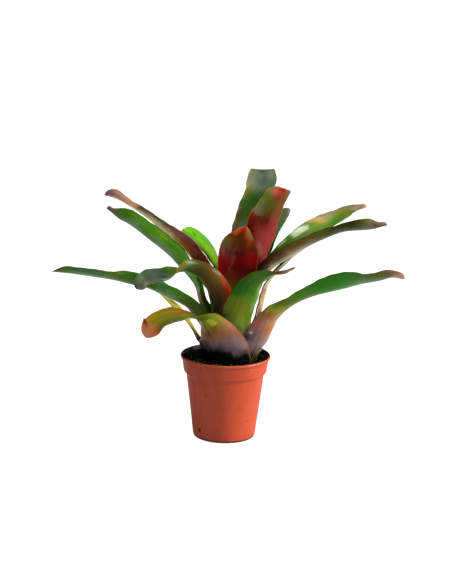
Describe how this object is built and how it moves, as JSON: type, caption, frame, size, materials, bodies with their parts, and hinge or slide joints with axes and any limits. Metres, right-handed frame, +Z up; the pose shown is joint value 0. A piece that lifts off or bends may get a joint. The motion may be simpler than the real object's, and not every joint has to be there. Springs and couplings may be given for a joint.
{
  "type": "potted neoregelia bromeliad",
  "caption": "Open rosette of strap-shaped bromeliad leaves, red at the heart and green outside, in a tapered plastic nursery pot.",
  "frame": {"origin": "middle of the pot's flat underside", "axes": "+Z up, +X to the viewer's right along the rosette's widest spread, -Y towards the picture's viewer"},
  "size_m": [0.4508, 0.2388, 0.3475],
  "materials": {
    "pot_plastic": "satin terracotta-coloured polypropylene",
    "potting_mix": "moist crumbly peat and bark",
    "stem": "dull pale plant tissue",
    "red_leaf": "waxy dark red leaf",
    "bronze_leaf": "waxy bronze and olive leaf",
    "green_leaf": "glossy green leaf",
    "lime_leaf": "translucent yellow-green leaf",
    "yellow_leaf": "old yellow speckled leaf",
    "dry_leaf": "dry papery leaf"
  },
  "bodies": {
    "root": {"pot": "pot_plastic", "potting_mix": "potting_mix", "stem": "stem", "heart_leaf": "green_leaf", "inner_red_leaf": "red_leaf", "tall_red_leaf": "red_leaf", "tall_green_leaf": "green_leaf", "rear_right_leaf": "green_leaf", "lime_leaf": "lime_leaf", "upper_right_leaf": "green_leaf", "upper_left_leaf": "bronze_leaf", "middle_right_leaf": "bronze_leaf", "arching_leaf": "bronze_leaf", "green_left_leaf": "green_leaf", "narrow_right_leaf": "bronze_leaf", "folded_front_leaf": "green_leaf", "long_left_leaf": "green_leaf", "rear_leaf_a": "green_leaf", "rear_leaf_b": "green_leaf", "old_leaf": "yellow_leaf", "long_right_leaf": "green_leaf", "front_leaf": "bronze_leaf", "dry_scale": "dry_leaf"}
  },
  "joints": []
}
